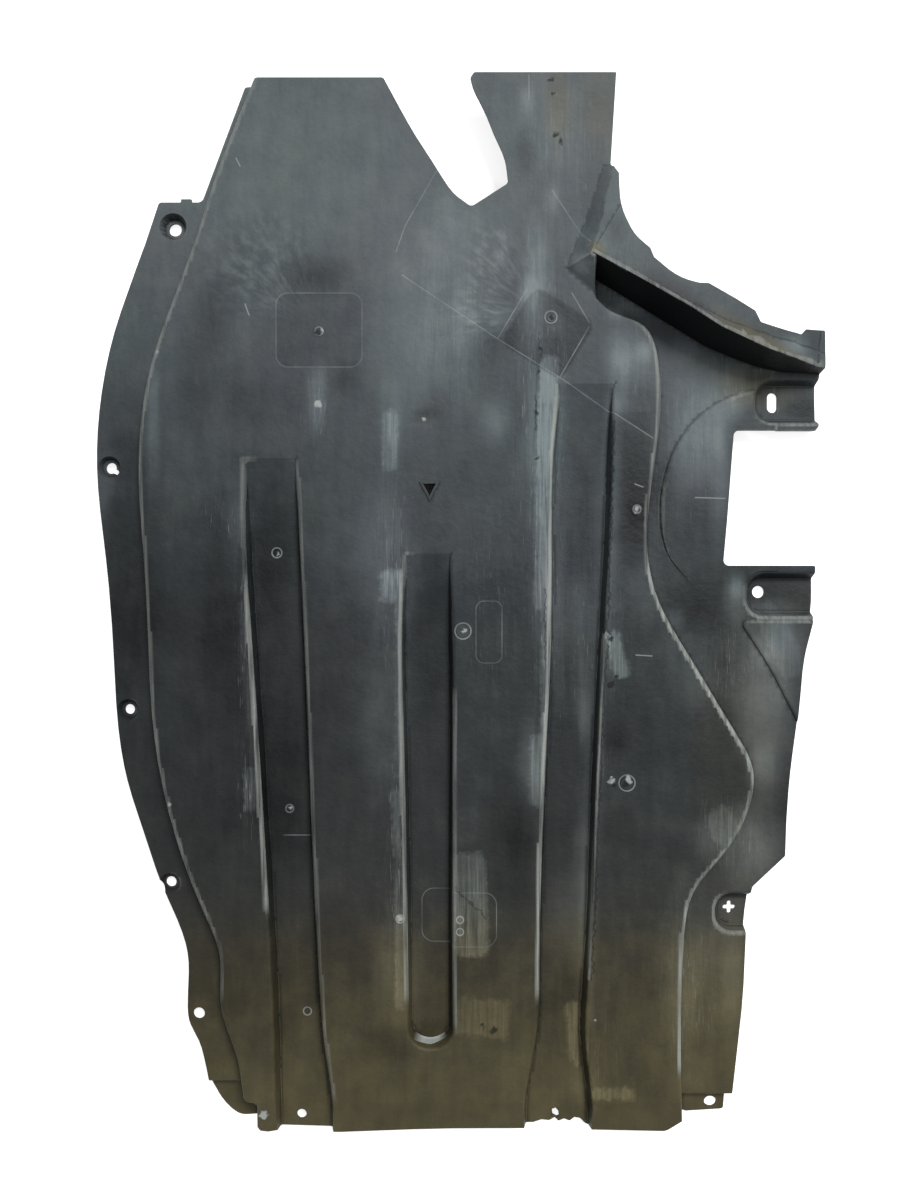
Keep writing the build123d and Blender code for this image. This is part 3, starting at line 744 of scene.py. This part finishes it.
def dust_and_light_colour(tree, place, level, olive_share, mottling):
    """The colour of dust, or olive brown where the olive share is high, at a thickness that holds
    painted light.
    """
    dust = add_node(tree, "ValToRGB", {"Fac": level}, stops=dust_tones)
    olive_ramp = add_node(tree, "ValToRGB", {"Fac": level}, stops=olive_tones)
    green = pattern(tree, place, 170, 0.0, 0.5, detail=1)
    dust = add_node(tree, "Mix", {0: green, 6: dust, 7: green_dust}, data_type="RGBA",
                    blend_type="COLOR")
    mottled_olive_share = add_node(tree, "Math", {0: mottling, 1: 1.2, 2: olive_share}, operation="MULTIPLY_ADD",
                     use_clamp=True)
    return add_node(tree, "Mix", {0: mottled_olive_share, 6: dust, 7: olive_ramp}, data_type="RGBA")


def bare_and_shaded(tree, colour, faces_dust_and_lamp, shaded_corner):
    """A colour that turns black where a face turns from dust and lamp, as bare plastic and painted
    shade, and in the corners, as painted shade.
    """
    colour = add_node(tree, "Mix", {0: faces_dust_and_lamp, 6: bare_and_shaded_black, 7: colour}, data_type="RGBA")
    # Painted shade in the inner corners
    corner = add_node(tree, "MapRange", {"Value": shaded_corner, "From Min": 0.3, "To Max": 0.6})
    return add_node(tree, "Mix", {0: corner, 6: colour, 7: corner_shade_black}, data_type="RGBA")


# %% [markdown]
# Over the dirt lie the marks: the hair lines and rings of the tool, scratches, chips and gouges, and
# a painted shadow in the torn slit. The fine scratches are the peaks of two stretched noises, where
# the road has drawn the dust out. Last come the edges rubbed pale, partly wear and partly painted
# highlight, and a painted highlight on the lit end of the middle channel.

# %% Colour of the marks
scratch_grey = "9ba1a2"
# Pale of rubbed edges, partly painted highlight
rubbed_and_highlight_grey = "999d98"
pale_chip, dark_chip, dark_mark_and_shadow_black = "a9adab", "0f1112", "101213"
fine_scratches = [(0.66, 28, 18), (0.66, -55, 14)]   # lowest noise that shows, turn, stretch
# Painted highlight on the lit end of the middle channel: its middle, radius, and the zone it lies in
channel_end, end_radius = (430, 1023), 23
end_zone = (430, 1048, 13, 10, 0, 8)


def marked(tree, colour, place, flat_place, torn_place, faces_dust_and_lamp, streaky, mottling):
    """A colour with hair lines, rings, scratches, chips, gouges and a painted shadow in the torn slit
    laid over it.
    """
    hair = combined(tree, "MAXIMUM", itertools.chain(
        (line(tree, flat_place, *ends, 1.6) for ends in insert_lines),
        (rim(tree, flat_place, box, 1.4, 0.7) for box in insert_boxes),
        (ring(tree, flat_place, x, y, radius, 1.4) for x, y, radius, _ in gates),
    ))
    faded = add_node(tree, "MapRange", {"Value": mottling, "From Min": -0.04, "From Max": 0.04,
                                        "To Min": 0.3, "To Max": 0.9})
    long_scratches = combined(tree, "MAXIMUM", (line(tree, flat_place, *ends, 1.8)
                                                for ends in pale_scratches))
    fine = combined(tree, "MAXIMUM", (
        pattern(tree, place, 1.5, 0.0, 1.0, turn, stretch, 2, (lowest, lowest + 0.06))
        for lowest, turn, stretch in fine_scratches
    ))
    pale = combined(tree, "MAXIMUM", [
        combined(tree, "MULTIPLY", [hair, faded, 0.75]),
        combined(tree, "MULTIPLY", [long_scratches, 0.8]),
        combined(tree, "MULTIPLY", [fine, streaky, 0.4]),
    ])
    colour = add_node(tree, "Mix", {0: combined(tree, "MULTIPLY", [pale, faces_dust_and_lamp]), 6: colour,
                                    7: scratch_grey}, data_type="RGBA")
    for chips, tone, share in ((pale_chips, pale_chip, 0.8), (dark_chips, dark_chip, 0.85)):
        marks = combined(tree, "MAXIMUM", (disc(tree, torn_place, *chip, share) for chip in chips))
        colour = add_node(tree, "Mix", {0: marks, 6: colour, 7: tone}, data_type="RGBA")
    # Gouges and dark lines, with the painted shadow in the torn slit
    dark_marks_and_slit_shadow = combined(tree, "MAXIMUM", (line(tree, torn_place, *ends, 2.4) for ends in dark_strokes))
    return add_node(tree, "Mix", {0: combined(tree, "MULTIPLY", [dark_marks_and_slit_shadow, 0.7]), 6: colour,
                                  7: dark_mark_and_shadow_black}, data_type="RGBA")


def rubbed_and_highlit(tree, colour, flat_place, crest, rub_and_highlight, smears):
    """A colour with rubbed edges, partly painted highlight, a pale line along one side of a channel,
    and the painted highlight on the end of the channel laid over it.
    """
    edge = add_node(tree, "MapRange", {"Value": crest, "From Min": 0.5, "From Max": 1.0})
    patchy_wear_and_highlight = add_node(tree, "MapRange", {"Value": smears, "From Min": -0.8, "From Max": 0.4,
                                              "To Min": 0.2, "To Max": 0.95})
    # Painted highlight on the lit end of the middle channel
    end_highlight = combined(tree, "MULTIPLY", [ring(tree, flat_place, *channel_end, end_radius, 3),
                                           inside(tree, flat_place, end_zone, 5)])
    pale_side = combined(tree, "MAXIMUM", (line(tree, flat_place, *ends, 3.4)
                                           for ends in pale_side_lines))
    worn_and_lit_edge = combined(tree, "MAXIMUM", [combined(tree, "MULTIPLY", [edge, rub_and_highlight]), pale_side])
    worn_and_highlit = combined(tree, "MAXIMUM", [combined(tree, "MULTIPLY", [worn_and_lit_edge, patchy_wear_and_highlight]),
                                           end_highlight])
    return add_node(tree, "Mix", {0: worn_and_highlit, 6: colour, 7: rubbed_and_highlight_grey}, data_type="RGBA")


# %% [markdown]
# The plastic itself has a fine grain from the tool and soft dents from use, both as a bump. Thick
# dust makes it rougher, and what shines is the clean plastic.

# %% The material
def worn_polypropylene_with_painted_light():
    """Black moulded polypropylene under dust, olive brown at the rear, scratched, with rubbed edges,
    and with painted shade, shadow and highlight.
    """
    material, tree = new_material("dusty_moulded_polypropylene_with_painted_light")
    coordinates = add_node(tree, "TexCoord")
    place = coordinates.outputs["Object"]
    flat_place = add_node(tree, "VectorMath", {0: place, 1: (1, 1, 0)}, operation="MULTIPLY")
    torn_place = shifted(tree, place, flat_place)
    dust_and_painted_light, olive_share, rub_and_highlight, crest, shaded_corner, streaky = [
        add_node(tree, "Attribute", attribute_name=name).outputs["Fac"]
        for name in ("dust_and_painted_light", "olive_share", "rub_and_highlight", "crest", "shaded_corner", "streaky")
    ]
    mottling = pattern(tree, place, 24, -0.045, 0.045, detail=6)
    smears = pattern(tree, place, 4, -1, 1, turn=1, stretch=22)
    # How much a face turns toward the dust and the lamp; faces that turn away get painted shade
    facing = add_node(tree, "VectorMath", {0: coordinates.outputs["Normal"], 1: dust_and_lamp_from},
                      operation="DOT_PRODUCT")
    faces_dust_and_lamp = add_node(tree, "MapRange", {"Value": facing, "From Min": -0.1, "From Max": 0.38})

    level = dust_and_light_level(tree, place, flat_place, torn_place, dust_and_painted_light, streaky, mottling, smears)
    colour = bare_and_shaded(tree, dust_and_light_colour(tree, place, level, olive_share, mottling), faces_dust_and_lamp, shaded_corner)
    colour = marked(tree, colour, place, flat_place, torn_place, faces_dust_and_lamp, streaky, mottling)
    colour = rubbed_and_highlit(tree, colour, flat_place, crest, rub_and_highlight, smears)

    grain = pattern(tree, place, 1.1, -0.25, 0.25, detail=2)
    dents = pattern(tree, place, 6, -0.9, 0.9, detail=3)
    skin = combined(tree, "ADD", [grain, dents])
    bump = add_node(tree, "Bump", {"Strength": 0.5, "Distance": 0.25 * MM, "Height": skin})
    roughness = add_node(tree, "MapRange", {"Value": level, "From Min": 0.0, "From Max": 1.0,
                                            "To Min": 0.46, "To Max": 0.74})
    surface = add_node(tree, "BsdfPrincipled", {
        "Base Color": colour, "Roughness": roughness, "Specular IOR Level": 0.28, "Normal": bump,
    })
    add_node(tree, "OutputMaterial", {"Surface": surface})
    return material


plastic = worn_polypropylene_with_painted_light()
worn_mesh.materials.append(plastic)
print("nodes in the material:", len(plastic.node_tree.nodes))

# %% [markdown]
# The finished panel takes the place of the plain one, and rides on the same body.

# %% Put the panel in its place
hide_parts(cover_node)
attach(worn, "root")
